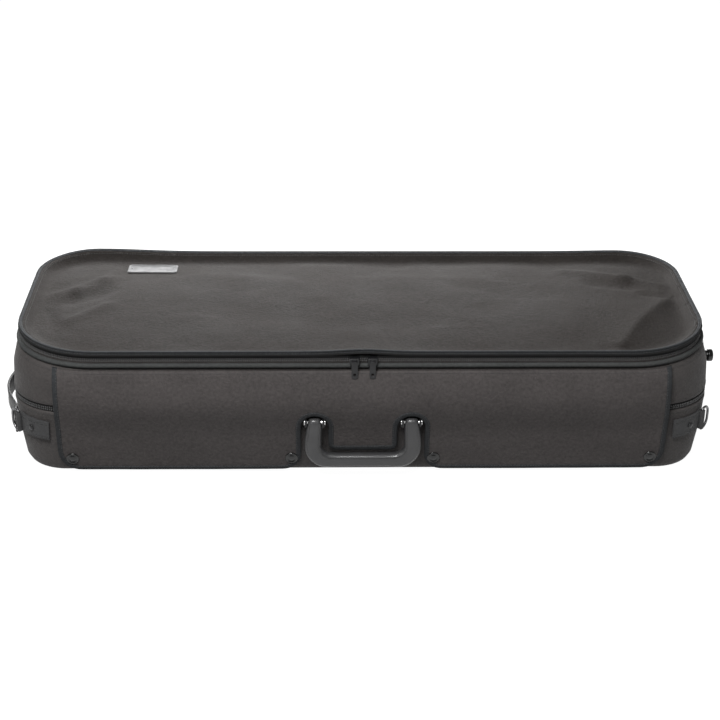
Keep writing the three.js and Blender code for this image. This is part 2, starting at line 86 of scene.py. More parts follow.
# ---- materials ------------------------------------------------------------------------------
def material(name, color, roughness, metallic=0.0, sheen=0.0, coat=0.0, specular=0.5):
    made = bpy.data.materials.new(name)
    made.use_nodes = True
    shader = made.node_tree.nodes["Principled BSDF"]
    shader.inputs["Base Color"].default_value = (*color, 1)
    shader.inputs["Roughness"].default_value = roughness
    shader.inputs["Metallic"].default_value = metallic
    shader.inputs["Sheen Weight"].default_value = sheen
    shader.inputs["Coat Weight"].default_value = coat
    shader.inputs["Specular IOR Level"].default_value = specular
    return made


class Nodes:
    """Short ways to add and join shader nodes in one material."""

    def __init__(self, made):
        self.tree = made.node_tree
        self.shader = self.tree.nodes["Principled BSDF"]
        self.place = self.add("ShaderNodeTexCoord").outputs["Object"]

    def add(self, kind, **sockets):
        node = self.tree.nodes.new(kind)
        for key, value in sockets.items():
            self.set(node, key.replace("_", " "), value)
        return node

    def set(self, node, key, value):
        if isinstance(value, bpy.types.NodeSocket):
            self.tree.links.new(value, node.inputs[key])
        else:
            node.inputs[key].default_value = value

    def noise(self, scale, detail=4.0, roughness=0.6, place=None):
        node = self.add("ShaderNodeTexNoise", Scale=scale, Detail=detail, Roughness=roughness)
        self.set(node, "Vector", place or self.place)
        return node.outputs["Fac"]

    def math(self, operation, a, b=0.5, clamp=False):
        node = self.tree.nodes.new("ShaderNodeMath")
        node.operation = operation
        node.use_clamp = clamp
        self.set(node, 0, a)
        self.set(node, 1, b)
        return node.outputs[0]

    def spread(self, value, low, high, out_low, out_high):
        node = self.add("ShaderNodeMapRange", Value=value)
        for key, number in (("From Min", low), ("From Max", high), ("To Min", out_low),
                            ("To Max", out_high)):
            node.inputs[key].default_value = number
        return node.outputs["Result"]

    def blend(self, factor, a, b):
        node = self.tree.nodes.new("ShaderNodeMix")
        node.data_type = "RGBA"
        self.set(node, "Factor", factor)
        node.inputs["A"].default_value = (*a, 1)
        node.inputs["B"].default_value = (*b, 1)
        return node.outputs["Result"]

    def bump(self, height, strength, distance, below=None):
        node = self.add("ShaderNodeBump", Height=height, Strength=strength, Distance=distance)
        if below is not None:
            self.set(node, "Normal", below)
        return node.outputs["Normal"]

    def finish(self, color=None, roughness=None, normal=None):
        for key, value in (("Base Color", color), ("Roughness", roughness), ("Normal", normal)):
            if value is not None:
                self.tree.links.new(value, self.shader.inputs[key])


def shaded(color, factor):
    return tuple(min(1.0, c * factor) for c in color)


def fabric(name, color, pitch_mm, roughness=0.8, sheen=0.25, contrast=0.5, weave=0.5,
           specks=0.0, specular=0.3):
    """Plain weave: warp and weft run along the mesh's UVs, which are in metres."""
    made = material(name, color, roughness, sheen=sheen, specular=specular)
    made.node_tree.nodes["Principled BSDF"].inputs["Sheen Roughness"].default_value = 0.45
    n = Nodes(made)
    uv = n.tree.nodes.new("ShaderNodeTexCoord").outputs["UV"]
    split = n.add("ShaderNodeSeparateXYZ", Vector=uv)
    turns = math.pi / (pitch_mm * MM)
    warp = n.math("SINE", n.math("MULTIPLY", split.outputs["X"], turns))
    weft = n.math("SINE", n.math("MULTIPLY", split.outputs["Y"], turns))
    threads = n.math("MULTIPLY", warp, weft)
    slubs = n.noise(900.0, 3.0)
    patches = n.noise(14.0, 4.0)
    mottle = n.spread(n.noise(300.0, 2.0), 0.3, 0.7, -0.5, 0.5)
    grain = n.math("ADD", n.math("ADD", n.math("MULTIPLY", threads, 0.35 * weave), slubs),
                   n.math("MULTIPLY", mottle, 0.9))
    color_out = n.blend(n.math("ADD", n.math("MULTIPLY", grain, contrast),
                               n.spread(patches, 0.3, 0.7, 0.0, 0.45), clamp=True),
                        shaded(color, 0.72), shaded(color, 1.35))
    if specks:
        lint = n.spread(n.noise(420.0, 1.0), 0.74, 0.8, 0.0, specks)
        mix = n.tree.nodes.new("ShaderNodeMix")
        mix.data_type = "RGBA"
        n.set(mix, "Factor", lint)
        n.set(mix, "A", color_out)
        mix.inputs["B"].default_value = (*shaded(color, 2.6), 1)
        color_out = mix.outputs["Result"]
    fine = n.bump(grain, 0.6, 0.0006)
    soft = n.bump(n.noise(60.0, 5.0), 0.3, 0.003, fine)
    n.finish(color_out, n.spread(patches, 0.2, 0.8, roughness - 0.1, roughness + 0.08), soft)
    return made


def grained(name, color, roughness, scale, coat=0.0, wear=0.3):
    """Leather: cells with creased edges, and paler worn high spots."""
    made = material(name, color, roughness, coat=coat)
    n = Nodes(made)
    cells = n.add("ShaderNodeTexVoronoi", Scale=scale)
    cells.feature = "DISTANCE_TO_EDGE"
    n.set(cells, "Vector", n.place)
    crease = n.spread(cells.outputs["Distance"], 0.0, 0.12, 0.0, 1.0)
    worn = n.spread(n.noise(45.0, 5.0), 0.5, 0.75, 0.0, wear)
    n.finish(n.blend(worn, color, shaded(color, 2.4)),
             n.spread(crease, 0.0, 1.0, roughness + 0.15, roughness),
             n.bump(crease, 0.3, 0.0004))
    return made


def metal(name, color, roughness, metallic=1.0, scratch=0.5):
    made = material(name, color, roughness, metallic)
    n = Nodes(made)
    smears = n.noise(120.0, 6.0)
    n.finish(n.blend(n.spread(smears, 0.35, 0.75, 0.0, 0.6), color, shaded(color, 0.7)),
             n.spread(smears, 0.3, 0.7, roughness, roughness + 0.2),
             n.bump(n.noise(700.0, 2.0), 0.06 * scratch, 0.0002))
    return made


CANVAS = (0.044, 0.0395, 0.038)
LOOKS = {
    "canvas": fabric("canvas", CANVAS, 0.55, 0.72, 0.06, specks=0.35),
    # Painted shade: the pocket's cover is the same cloth as the canvas, given a darker colour to
    # offset the strong light from behind.
    "cover": fabric("cover", (0.0212, 0.0188, 0.0174), 0.55, 0.75, 0.0, specks=0.55,
                    contrast=0.65, specular=0.06),
    # Painted light: the flap is the same cloth as the canvas, given a paler colour to stand in for
    # light on its front face.
    "flap": fabric("flap", (0.053, 0.0475, 0.0465), 0.55, 0.7, 0.03, specks=0.4,
                   contrast=0.65, specular=0.15),
    "binding": fabric("binding", (0.03, 0.0318, 0.034), 0.8, 0.8, 0.0, weave=1.0, specular=0.12),
    "piping": fabric("piping", (0.044, 0.046, 0.0455), 0.9, 0.75, 0.0, weave=1.0, specular=0.15),
    "strap": grained("strap", (0.014, 0.014, 0.0145), 0.5, 900.0, wear=0.15),
    # Near-black: partly the zip tapes' own colour, partly painted shade in the zips' recesses and
    # under the pocket's rim.
    "tape": fabric("tape", (0.006, 0.006, 0.006), 0.7, 0.85, 0.0, weave=1.0),
    "plush": fabric("plush", (0.03, 0.045, 0.1), 1.2, 0.9, 0.9, weave=0.2),
    "thread": fabric("thread", (0.05, 0.05, 0.05), 0.4, 0.7, 0.05),
    "leather": grained("leather", (0.027, 0.027, 0.028), 0.4, 900.0, coat=0.25),
    "webbing": fabric("webbing", (0.036, 0.036, 0.037), 1.1, 0.65, 0.06, weave=1.4),
    "gloss": metal("gloss", (0.004, 0.004, 0.004), 0.12, 0.0),
    "steel": metal("steel", (0.6, 0.6, 0.6), 0.22),
    "dark_steel": metal("dark_steel", (0.16, 0.16, 0.165), 0.3),
    "black": metal("black", (0.009, 0.009, 0.01), 0.3, 0.2),
    "coil": metal("coil", (0.06, 0.06, 0.06), 0.4, 0.0),
    # Painted shade: the badge, a light grey plate, is given a darker colour to offset the strong
    # light from behind.
    "badge": metal("badge", (0.09, 0.09, 0.092), 0.6, 0.1, scratch=1.5),
}


def finish_piece(piece, look, body, *nodes, smooth=True, rides=True):
    """Gives a piece its look and slot, lets it ride and hides the nodes it stands for."""
    piece.data.materials.clear()
    piece.data.materials.append(LOOKS[look])
    if smooth:
        piece.data.polygons.foreach_set("use_smooth", [True] * len(piece.data.polygons))
    if rides:
        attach(piece, body)
    if nodes:
        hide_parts(*nodes)
    return piece


# ---- meshes ---------------------------------------------------------------------------------
def make_object(name, points_mm, faces, uvs=None):
    mesh = bpy.data.meshes.new(name)
    mesh.from_pydata([Vector(p) * MM for p in points_mm], [], faces)
    if uvs:
        layer = mesh.uv_layers.new(name="metres")
        for polygon in mesh.polygons:
            for k, loop in enumerate(polygon.loop_indices):
                layer.data[loop].uv = uvs[polygon.index][k]
    piece = bpy.data.objects.new(name, mesh)
    bpy.context.scene.collection.objects.link(piece)
    return piece


def outward(piece):
    work = bmesh.new()
    work.from_mesh(piece.data)
    bmesh.ops.recalc_face_normals(work, faces=work.faces)
    work.to_mesh(piece.data)
    work.free()
    return piece


def skin(name, rows, loops=False, closed=True):
    """Joins rows of the same length. Rows are closed outlines when closed. The ends are capped
    when the rows are closed and don't loop. UVs are in metres, along and across the rows."""
    width = len(rows[0])
    points = [p for row in rows for p in row]
    across = [0.0]
    for a, b in zip(rows, rows[1:] + rows[:1]):
        across.append(across[-1] + (Vector(b[0]) - Vector(a[0])).length)
    along = [0.0]
    middle = rows[len(rows) // 2]
    for a, b in zip(middle, middle[1:] + middle[:1]):
        along.append(along[-1] + (Vector(b) - Vector(a)).length)
    faces, uvs = [], []
    for r in range(len(rows) if loops else len(rows) - 1):
        here, there = r * width, (r + 1) % len(rows) * width
        for i in range(width if closed else width - 1):
            j = (i + 1) % width
            faces.append((here + i, here + j, there + j, there + i))
            uvs.append([(along[k] * MM, across[q] * MM)
                        for k, q in ((i, r), (i + 1, r), (i + 1, r + 1), (i, r + 1))])
    if closed and not loops:
        for r in (0, len(rows) - 1):
            middle_point = sum((Vector(p) for p in rows[r]), Vector()) / width
            apex = len(points)
            points.append(tuple(middle_point))
            for i in range(width):
                ring = (r * width + i, r * width + (i + 1) % width, apex)
                faces.append(ring)
                uvs.append([(points[k][0] * MM, points[k][1] * MM) for k in ring])
    return outward(make_object(name, points, faces, uvs))


def applied(piece):
    """Replaces the mesh by the result of its modifiers."""
    graph = bpy.context.evaluated_depsgraph_get()
    done = bpy.data.meshes.new_from_object(piece.evaluated_get(graph))
    piece.modifiers.clear()
    piece.data = done
    return piece


# ---- the body's outline ---------------------------------------------------------------------
# height, half length, half depth, front corner radius, back corner radius
LEVELS = ((0, 383, 130, 44, 44), (2.5, 388, 135, 49, 49), (8, 391, 138, 52, 52),
          (45, 397, 143, 60, 56), (84, 400, 145, 66, 62), (118, 400, 145, 76, 66),
          (137, 396, 144, 95, 68), (156, 394, 144, 96, 68))
SPLIT = 84                    # height of the main zip


def size_at(z):
    if z <= LEVELS[0][0]:
        return LEVELS[0][1:]
    for low, high in zip(LEVELS, LEVELS[1:]):
        if z <= high[0]:
            t = (z - low[0]) / (high[0] - low[0])
            return tuple(a + (b - a) * t for a, b in zip(low[1:], high[1:]))
    return LEVELS[-1][1:]


def corner_point(z, out, turn, side):
    length, depth, front, back = size_at(z)
    radius = max(2.0, (front if side >= 2 else back) + out)
    cx = (length + out - radius) * (1 if side in (0, 3) else -1)
    cy = (depth + out - radius) * (-1 if side >= 2 else 1)
    a = math.radians(turn)
    return Vector((cx + radius * math.cos(a), cy + radius * math.sin(a), z))


def stops(start, end, arc_steps=14, pitch=16.0):
    """Stations along the outline between two headings: (heading, corner, next corner, share)."""
    stations = []
    quarter = math.floor(start / 90)
    while quarter * 90 < end:
        low, high = max(start, quarter * 90), min(end, quarter * 90 + 90)
        steps = max(1, round(arc_steps * (high - low) / 90))
        side = quarter % 4
        for i in range(steps + 1):
            stations.append((low + (high - low) * i / steps, side, side, 0.0))
        if quarter * 90 + 90 < end or (end - start == 360 and high == quarter * 90 + 90):
            following = (side + 1) % 4
            a = corner_point(100, 0, high, side)
            b = corner_point(100, 0, high, following)
            count = max(2, round((b - a).length / pitch))
            stations += [(high, side, following, i / count) for i in range(1, count)]
        quarter += 1
    return stations


AROUND = stops(0, 360)
ZIP_RUN = stops(135, 405)
BACK_RUN = stops(45, 135)


def place(station, out, z):
    turn, side, following, share = station
    point = corner_point(z, out, turn, side)
    if share:
        point = point.lerp(corner_point(z, out, turn, following), share)
    return point


def heading(station):
    a = math.radians(station[0])
    return Vector((math.cos(a), math.sin(a), 0))


def smooth(value, low, high):
    t = max(0.0, min(1.0, (value - low) / (high - low)))
    return t * t * (3 - 2 * t)


def rim_lift(x, y):
    """The pocket's soft rim stands higher at its back left corner and over the zip sliders."""
    back = max(0.0, min(1.0, (y + 40) / 120))
    corner = 3.6 * math.exp(-((x + 325) / 75) ** 2) + 1.2 * math.exp(-((x - 330) / 60) ** 2)
    front = max(0.0, min(1.0, (-y - 60) / 60))
    return back * corner + front * 2.6 * math.exp(-(x / 34) ** 2)


def ripple(point, size_mm, seed=0.0):
    """Smooth noise from about -1 to 1, with features of that size."""
    return noise.noise(Vector((point.x / size_mm + seed, point.y / size_mm, point.z / size_mm)))


def band(name, profile, run, loops, wobble=0.0, ripple_mm=60.0, lifts=False):
    rows = []
    for station in run:
        row = []
        for out, z in profile:
            p = place(station, out, z)
            p += heading(station) * wobble * ripple(p, ripple_mm)
            if lifts:
                p.z += rim_lift(p.x, p.y)
            row.append(p)
        rows.append(row)
    return skin(name, rows, loops=loops)


def tub(name, profile, soften=0.0):
    """profile runs from the closed end's outside, over the rim, to its inside."""
    rows = []
    for out, z, loose in profile:
        row = []
        for station in AROUND:
            p = place(station, out, z)
            push = ripple(p, 95.0) * 0.9 + ripple(p, 34.0, 5.0) * 0.35
            row.append(p + heading(station) * soften * loose * push)
        rows.append(row)
    return skin(name, rows)


def disc_profile(out, z, radius, sides=8):
    return [(out + radius * math.cos(2 * math.pi * i / sides),
             z + radius * math.sin(2 * math.pi * i / sides)) for i in range(sides)]


def rounded_profile(out0, out1, z0, z1, r):
    """A rounded rectangle with three points on each corner."""
    corners = ((out1 - r, z1 - r, 0), (out0 + r, z1 - r, 90), (out0 + r, z0 + r, 180),
               (out1 - r, z0 + r, 270))
    return [(cx + r * math.cos(math.radians(a + b)), cz + r * math.sin(math.radians(a + b)))
            for cx, cz, a in corners for b in (0, 45, 90)]


# ---- stitches and zip teeth -----------------------------------------------------------------
def bead(center, along, up, length, radius):
    """A small spindle, lying along one direction: six sides and two points."""
    side = along.cross(up).normalized() * radius
    lift = up.normalized() * radius
    reach = along.normalized() * length / 2
    ring = [center + side * math.cos(a) + lift * math.sin(a) for a in
            (math.radians(60 * i) for i in range(6))]
    points = [center - reach] + [p - reach * 0.45 for p in ring] \
        + [p + reach * 0.45 for p in ring] + [center + reach]
    faces = []
    for i in range(6):
        j = (i + 1) % 6
        faces += [(0, 1 + j, 1 + i), (1 + i, 1 + j, 7 + j, 7 + i), (7 + i, 7 + j, 13)]
    return points, faces


def beads(name, spots):
    """spots: (center, along, up, length, radius) for each bead."""
    points, faces = [], []
    for spot in spots:
        bead_points, bead_faces = bead(*spot)
        start = len(points)
        points += bead_points
        faces += [tuple(start + i for i in face) for face in bead_faces]
    return outward(make_object(name, points, faces))


def walk(path, pitch):
    """Points and directions every pitch along a line of points."""
    found = []
    travelled, due = 0.0, pitch / 2
    for a, b in zip(path, path[1:]):
        step = (b - a).length
        if step < 1e-6:
            continue
        while due <= travelled + step:
            found.append((a.lerp(b, (due - travelled) / step), (b - a).normalized()))
            due += pitch
        travelled += step
    return found


STITCH = 3.2                  # pitch of the seams' stitches


def seam(name, path, normal_of, look="thread", body="base", pitch=STITCH, radius=0.28):
    spots = [(p + normal_of(p) * 0.12, d, normal_of(p), pitch * 0.72, radius)
             for p, d in walk(path, pitch)]
    return finish_piece(beads(name, spots), look, body)


def away_from_axis(point):
    """Outward direction of the body's side at a point, by the nearest outline centre line."""
    length, depth, front, back = size_at(point.z)
    radius = front if point.y < 0 else back
    core = Vector((max(-length + radius, min(length - radius, point.x)),
                   max(-depth + radius, min(depth - radius, point.y)), point.z))
    gap = point - core
    return gap.normalized() if gap.length > 1 else Vector((0, -1, 0))


def side_seam(name, out, z, run, body):
    seam(name, [place(s, out, z) for s in run], away_from_axis, "thread", body)


# ---- base and lid ---------------------------------------------------------------------------
RECESS = 2.5
WALL = 7
BASE_TOP = SPLIT - 0.4
LID_LOW = SPLIT + 0.4


def add_shells():
    sides = [(0, z, 1.0) for z in (14, 22, 30, 38, 46, 54, 62, 70)]
    base = tub("base_canvas", [
        (-90, 0, 0), (-30, 0, 0), (0, 0, 0), (0, 1, 0), (0, 2.5, 0), (0, 5, 0.2), (0, 8, 0.5),
        *sides, (0.3, 76, 0.3), (0.1, 78.6, 0), (-0.6, 79.6, 0), (-RECESS, 80.2, 0),
        (-RECESS, BASE_TOP, 0), (-WALL, BASE_TOP, 0), (-WALL, 45, 0), (-WALL, 14, 0),
        (-WALL - 4, 8.6, 0), (-WALL - 9, 7, 0)], 0.8)
    finish_piece(base, "canvas", "base", "base_shell")
    lid_sides = [(0, z, 1.0) for z in (128, 122, 116, 110, 104, 98, 93)]
    lid = tub("lid_canvas", [
        (-90, 136.5, 0), (-12, 136.5, 0), (-4.5, 136.4, 0), (-2.6, 136, 0), (-1.2, 135, 0),
        (-0.4, 133, 0.3), *lid_sides, (0.3, 90.6, 0.2), (0.1, 88.9, 0), (-0.6, 88.2, 0),
        (-RECESS, 87.7, 0), (-RECESS, LID_LOW, 0), (-WALL, LID_LOW, 0), (-WALL, 118, 0),
        (-WALL - 2, 126, 0), (-WALL - 8, 129.5, 0)], 0.8)
    finish_piece(lid, "canvas", "lid", "lid_shell")
    side_seam("base_zip_seam", 0.35, 76.4, AROUND + AROUND[:1], "base")
    side_seam("lid_zip_seam", 0.35, 91.6, AROUND + AROUND[:1], "lid")
    side_seam("lid_top_seam", 0.2, 130.4, AROUND + AROUND[:1], "lid")


def add_linings():
    inner = -WALL - 0.4
    base = tub("base_plush", [
        (inner - 9, 7.4, 0), (inner - 4, 9.1, 0), (inner, 14.3, 0), (inner, 45, 0),
        (inner, 81.6, 0), (inner - 1.5, 82.6, 0), (inner - 3, 81.6, 0), (inner - 3, 60, 0.4),
        (inner - 3, 40, 0.4), (inner - 3.4, 17, 0), (inner - 6, 12.4, 0),
        (inner - 12, 10.4, 0), (inner - 60, 10.4, 0)], 0.5)
    finish_piece(base, "plush", "base", "base_lining")
    lid = tub("lid_plush", [
        (inner - 8, 129.1, 0), (inner - 2, 125.6, 0), (inner, 117.6, 0), (inner, 86.4, 0),
        (inner - 1.5, 85.4, 0), (inner - 3, 86.4, 0), (inner - 3, 102, 0.4),
        (inner - 3, 117, 0.3), (inner - 5, 123, 0), (inner - 10, 126.1, 0),
        (inner - 60, 126.1, 0)], 0.5)
    finish_piece(lid, "plush", "lid", "lid_lining")


def add_trim():
    cord = band("lid_piping_cord", disc_profile(-0.4, 138.5, 2.7, 10), AROUND, True, 0.15, 25)
    finish_piece(cord, "piping", "lid", "lid_piping")
    flange = band("lid_piping_flange", rounded_profile(-3.0, -0.5, 136.3, 137.4, 0.4),
                  AROUND, True)
    finish_piece(flange, "binding", "lid")
    wall = band("pocket_low_wall", rounded_profile(-5.6, -3.2, 136.8, 144.6, 0.6), AROUND, True,
                0.2, 40)
    finish_piece(wall, "canvas", "lid", "pocket_wall")
    gusset = band("pocket_back_cloth", [
        (-3.2, 145), (-2.6, 147), (-1.6, 149), (-1.0, 150), (-1.0, 151), (-1.2, 152.4),
        (-2.2, 152.4), (-2.2, 151), (-2.2, 150), (-3.2, 149), (-5.0, 147), (-5.6, 145)],
        BACK_RUN, False)
    finish_piece(gusset, "canvas", "lid", "pocket_back_gusset", rides=False)
    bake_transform(gusset)
    rim = band("rim_binding", [
        (-4, 151), (-3.4, 150.6), (-0.8, 150.6), (0.1, 151), (0.3, 151.8), (0.15, 153),
        (0.05, 154), (-0.3, 155), (-1.2, 155.6), (-2.6, 155.6), (-3.6, 155), (-4, 154)],
        AROUND, True, 0.15, 30, lifts=True)
    finish_piece(rim, "binding", "pocket_cover", "pocket_rim")
    # Painted shade: the rim's low cord takes the near-black tape colour to stand for the shade
    # under the rim's lower edge.
    for name, look, out, z, r in (("rim_cord_top", "binding", -0.3, 155.2, 1.05),
                                  ("rim_shade_cord", "tape", 0.3, 151.2, 0.8)):
        line = band(name, disc_profile(out, z, r), AROUND, True, 0.1, 20, lifts=True)
        finish_piece(line, look, "pocket_cover")
    path = [place(s, 0.25, 153.2) for s in AROUND + AROUND[:1]]
    seam("rim_seam", [p + Vector((0, 0, rim_lift(p.x, p.y))) for p in path], away_from_axis,
         "thread", "pocket_cover")


# zip name: centre height, tape's inner face, body of the low half, body of the high half
ZIPS = {
    "main": (84.0, -2.2, "base", "lid", "main_zip_tape_lower", "main_zip_tape_upper", 80.7, 87.3),
    "pocket": (145.0, -2.8, "lid", "pocket_cover", "pocket_zip_tape_lower",
               "pocket_zip_tape_upper", 139.9, 150.2),
}
TOOTH_PITCH = 2.4


def add_zips():
    for name, (z, out, low_body, high_body, low_node, high_node, low, high) in ZIPS.items():
        halves = (("low", -1, low_body, low_node, low), ("high", 1, high_body, high_node, high))
        for half, sign, body, node, edge in halves:
            z0, z1 = sorted((edge, z + 0.25 * sign))
            tape = band(f"{name}_tape_{half}", rounded_profile(out, out + 1, z0, z1, 0.25),
                        ZIP_RUN, False)
            # Painted shade: the pocket zip's upper tape, under the rim's overhang, is near-black
            # while its lower tape takes the canvas colour; the main zip's near-black tapes are
            # partly their own colour, partly painted shade in the recess.
            pale = name == "pocket" and half == "low"
            finish_piece(tape, "canvas" if pale else "tape", body, node)
            line = [place(s, out + 1.25, z + 1.15 * sign) for s in ZIP_RUN]
            spots = []
            for i, (p, d) in enumerate(walk(line, TOOTH_PITCH)):
                normal = away_from_axis(p)
                tooth_axis = (Vector((0, 0, 1)) + 0.25 * sign * d).normalized()
                spots.append((p + (0.3 if i % 2 else 0.0) * normal, tooth_axis, normal,
                              2.4, 0.72))
            finish_piece(beads(f"{name}_coil_{half}", spots), "coil", body)


# ---- music pocket's cover -------------------------------------------------------------------
# Folds in the slack cover: ends of the ridge, its height and half width. Below 0 is a dip.
FOLDS = (
    ((256, 95), (326, 72), 2.4, 10.0), ((326, 72), (372, 50), 2.4, 9.0),
    ((286, 48), (328, 41), -2.0, 12.0), ((344, 22), (382, 12), -2.2, 9.0),
    ((-376, 22), (-341, 36), 2.0, 13.0), ((-341, 36), (-312, 62), 2.2, 13.0),
    ((-338, -48), (-300, -12), 2.2, 11.0), ((-338, 4), (-312, 16), -2.0, 16.0),
    ((-352, -60), (-366, -20), -1.6, 12.0), ((-312, 62), (-296, 92), 1.8, 12.0),
    ((-190, 80), (-90, 62), 1.2, 20.0), ((30, 72), (150, 60), 1.4, 26.0),
    ((-150, -40), (60, -62), -1.4, 36.0), ((120, 40), (210, 10), -1.2, 24.0),
)
FOLD_SCALE = 1.2
CREASE = (Vector((394, 42)), Vector((279, -136)))
CREASE_RISE = 4.4
CREASE_FALL = 7.8
COVER_EDGE = -3.9             # the cover meets the rim here
COVER_TOP = 154.6
COVER_FLOOR = 144.6           # the cover never hangs lower
COVER_DROP = 9.2              # drop just inside the rim
COVER_CROWN = 7.2             # rise from the foot of the drop to the middle
BADGE = [[c / MM for c in corner[:2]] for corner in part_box("badge_plate")]


def crease_height(here):
    """The cover rises to one sharp crease near its right end, and falls away beyond it."""
    along = (CREASE[1] - CREASE[0]).normalized()
    gap = here - CREASE[0]
    beyond = along.x * gap.y - along.y * gap.x + 5.0 * math.sin(gap.dot(along) / 60.0)
    if beyond < 0:
        return CREASE_RISE * math.exp(beyond / 19.0)
    return CREASE_RISE - CREASE_FALL * (1 - math.exp(-beyond / 26.0)) + 0.02 * beyond


def fold_height(x, y):
    here = Vector((x, y))
    total = crease_height(here)
    for a, b, height, width in FOLDS:
        a, b = Vector(a), Vector(b)
        run = b - a
        t = (here - a).dot(run) / run.length_squared
        nearest = a + run * max(0.0, min(1.0, t))
        gap = here - nearest
        side = run.x * gap.y - run.y * gap.x
        reach = width * (0.62 if side * height > 0 else 1.2)
        total += height * math.exp(-(gap.length / reach) ** 2)
    return total


def off_badge(x, y):
    """0 under the stiff badge plate, rising to 1 around it."""
    low, high = BADGE
    gap = math.hypot(max(0.0, low[0] - x, x - high[0]), max(0.0, low[1] - y, y - high[1]))
    return smooth(gap, 3.0, 24.0)


def rim_distance(x, y):
    """How far a point in plan is inside the rim's inner edge."""
    length, depth, front, back = size_at(155)
    radius = front if y < 0 else back
    dx = abs(x) - (length - radius)
    dy = abs(y) - (depth - radius)
    if dx > 0 and dy > 0:
        gap = radius - math.hypot(dx, dy)
    else:
        gap = min(length - abs(x), depth - abs(y))
    return gap + COVER_EDGE


def cover_height(x, y):
    inside = max(0.0, rim_distance(x, y))
    fall = 1 - math.exp(-(inside / 7.5) ** 1.6)
    drop = COVER_DROP * fall - COVER_CROWN * math.sin(min(1.0, inside / 125.0) * math.pi / 2)
    loose = min(1.0, inside / 26.0) ** 1.4 * off_badge(x, y)
    spot = Vector((x, y, 0))
    small = 0.75 * ripple(spot, 46.0, 3.0) + 0.3 * ripple(spot, 19.0, 9.0)
    broad = 1.9 * ripple(spot, 105.0, 1.0)
    height = COVER_TOP - drop + loose * (fold_height(x, y) * FOLD_SCALE + small + broad)
    return max(height, COVER_FLOOR) + rim_lift(x, y) * math.exp(-inside / 30.0)


def flat_mesh(name, boundary, pitch, lift, seed):
    """A sheet inside a closed boundary: triangles of about that pitch, lifted by lift(a, b)."""
    maker = random.Random(seed)
    outline = [Vector(p) for p in boundary]
    count = len(outline)
    xs = [p.x for p in outline]
    ys = [p.y for p in outline]
    points = list(outline)
    a = min(xs) + pitch / 2
    while a < max(xs):
        b = min(ys) + pitch / 2
        while b < max(ys):
            spot = Vector((a + maker.uniform(-0.2, 0.2) * pitch,
                           b + maker.uniform(-0.2, 0.2) * pitch))
            points.append(spot)
            b += pitch
        a += pitch
    edges = [(i, (i + 1) % count) for i in range(count)]
    kept, _, faces, _, _, _ = delaunay_2d_cdt(points, edges, [list(range(count))], 1, 1e-4)
    mesh_points = [lift(p.x, p.y) for p in kept]
    uvs = [[(kept[i].x * MM, kept[i].y * MM) for i in face] for face in faces]
    return make_object(name, mesh_points, faces, uvs)


def thicken(piece, thickness_mm):
    """Gives a sheet its thickness, behind the face it shows."""
    solid = piece.modifiers.new("thickness", "SOLIDIFY")
    solid.thickness = thickness_mm * MM
    solid.offset = -1.0
    applied(piece)


def face_up(piece, direction):
    """Turns every face of an open sheet so that they face one way."""
    flipped = [f for f in piece.data.polygons if f.normal.dot(direction) < 0]
    if len(flipped) > len(piece.data.polygons) / 2:
        piece.data.flip_normals()


def add_cover():
    edge = [place(s, COVER_EDGE, 155) for s in AROUND]
    sheet = flat_mesh("cover_cloth", [(p.x, p.y) for p in edge], 4.6,
                      lambda x, y: (x, y, cover_height(x, y)), 3)
    face_up(sheet, Vector((0, 0, 1)))
    thicken(sheet, 1.3)
    finish_piece(sheet, "cover", "pocket_cover", "pocket_cover")
    outline_in = [place(s, COVER_EDGE - 3.4, 155) for s in AROUND + AROUND[:1]]
    path = [Vector((p.x, p.y, cover_height(p.x, p.y) + 0.1)) for p in outline_in]
    seam("cover_seam", path, lambda p: Vector((0, 0, 1)), "thread", "pocket_cover")


def add_badge():
    """A plain plate lying on the cover, on the plane through the cover's heights under it."""
    (x0, y0), (x1, y1) = BADGE
    corner = cover_height(x0, y0)
    slope_x = (cover_height(x1, y0) + cover_height(x1, y1) - corner
               - cover_height(x0, y1)) / 2 / (x1 - x0)
    slope_y = (cover_height(x0, y1) + cover_height(x1, y1) - corner
               - cover_height(x1, y0)) / 2 / (y1 - y0)

    def on_cover(x, y, up):
        return Vector((x, y, corner + slope_x * (x - x0) + slope_y * (y - y0) + up))

    rows = []
    for inset, up in ((1.2, -0.4), (0.2, -0.2), (0, 0.8), (0.3, 1.4), (1.1, 1.8), (1.9, 1.6),
                      (2.2, 1.3)):
        rows.append([on_cover(x, y, up) for x, y in rounded_profile(
            x0 + inset, x1 - inset, y0 + inset, y1 - inset, 3.2)])
    finish_piece(skin("badge", rows), "badge", "pocket_cover", "badge_plate")
    rivets = [(on_cover(x, (y0 + y1) / 2, 1.4), Vector((0, 0, 1)), Vector((0, 1, 0)), 1.4, 1.1)
              for x in (x0 + 5, x1 - 5)]
    finish_piece(beads("badge_rivets", rivets), "dark_steel", "pocket_cover")


# ---- weather flap ---------------------------------------------------------------------------
FLAP_HALF = 345.5
FLAP_TOP = 134.0
FLAP_LOW = 5.0
FLAP_CORNER = 26.0
FLAP_OUT = 2.8
FLAP_THICK = 2.0
CUT_CENTRE = 54.5
CUT_RADIUS = 15.5
CUT_SPRING = 65.0
TAB_LOW = 33.0
TAB_CORNER = 8.0
FOOT_CORNER = 22.0


def front_y(x, z, out):
    length, depth, front, _ = size_at(z)
    over = abs(x) - (length - front)
    if over <= 0:
        return -depth - out
    reach = front + out
    return -(depth - front) - math.sqrt(max(0.0, reach * reach - over * over))


def arc_points(cx, cz, r, start, end, steps):
    return [(cx + r * math.cos(math.radians(start + (end - start) * i / steps)),
             cz + r * math.sin(math.radians(start + (end - start) * i / steps)))
            for i in range(steps + 1)]


def line_points(a, b, pitch=8.0):
    count = max(1, round(math.dist(a, b) / pitch))
    return [(a[0] + (b[0] - a[0]) * i / count, a[1] + (b[1] - a[1]) * i / count)
            for i in range(1, count)]


